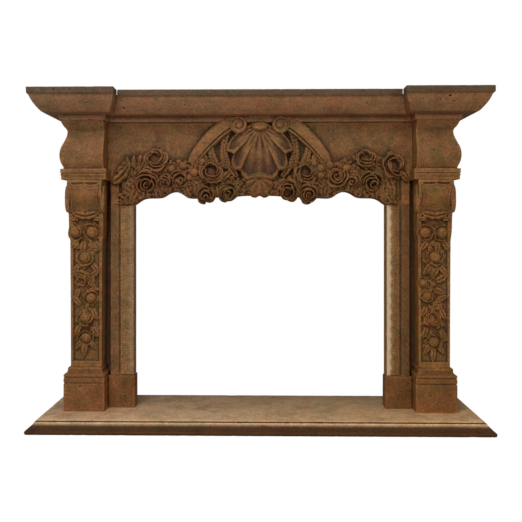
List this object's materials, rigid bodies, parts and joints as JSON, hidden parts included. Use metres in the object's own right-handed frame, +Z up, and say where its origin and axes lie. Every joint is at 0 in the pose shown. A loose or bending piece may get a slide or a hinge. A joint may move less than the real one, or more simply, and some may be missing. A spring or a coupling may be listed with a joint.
{
  "type": "fireplace mantel",
  "caption": "Carved stone fireplace surround on a hearth slab, with console legs, a shell and rose garland frieze, ribbed slips and a deep moulded shelf.",
  "frame": {"origin": "centre of the hearth slab's underside, which is also the bottom centre of the whole part's box", "axes": "+X to the viewer's right along the mantel, +Y back towards the wall, +Z up; the carved front faces -Y"},
  "size_m": [1.83, 0.475, 1.35],
  "materials": {
    "hearth_stone": "honed travertine slab, pale grey-brown on top with small open pits, darker and redder on the rounded nose",
    "brown_stone": "brown travertine, hand carved and finely picked, matt, with reddish and olive patches and dark hollows",
    "cornice_stone": "brown travertine mouldings, rubbed smooth, matt, with pits and slightly chipped edges"
  },
  "bodies": {
    "root": {"hearth": "hearth_stone", "plinth_left": "brown_stone", "plinth_right": "brown_stone", "pilaster_left": "brown_stone", "pilaster_right": "brown_stone", "frieze_block_left": "brown_stone", "frieze_block_right": "brown_stone", "cornice_left": "cornice_stone", "cornice_right": "cornice_stone", "cornice_centre": "cornice_stone", "frieze_panel": "brown_stone", "slip_left": "brown_stone", "slip_right": "brown_stone", "slip_plinth_left": "brown_stone", "slip_plinth_right": "brown_stone"}
  },
  "joints": []
}
